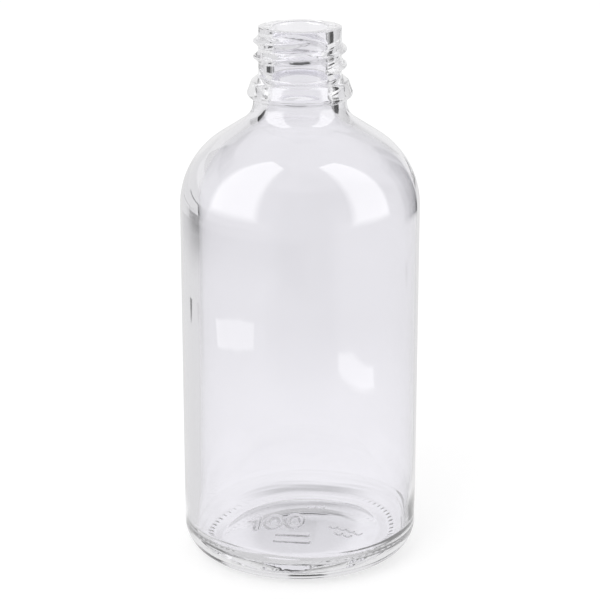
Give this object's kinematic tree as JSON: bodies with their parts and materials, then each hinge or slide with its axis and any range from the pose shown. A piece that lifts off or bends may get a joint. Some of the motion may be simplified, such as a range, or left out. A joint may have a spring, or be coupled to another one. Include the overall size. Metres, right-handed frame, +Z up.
{
  "type": "pharmacy bottle",
  "caption": "Round clear glass pharmacy bottle with domed shoulder, short neck, right-hand screw finish for an 18 mm closure and a grip-marked heel.",
  "frame": {"origin": "centre of the ring that the bottle stands on, on the bottle's axis", "axes": "+Z up along the bottle's axis, out of the mouth; +X towards the side where the wall is thinnest; +Y completes a right-handed frame, and the pictured side faces -Y"},
  "size_m": [0.0466, 0.0466, 0.106],
  "materials": {
    "clear_glass": "gloss"
  },
  "bodies": {
    "root": {"bottle": "clear_glass"}
  },
  "joints": []
}
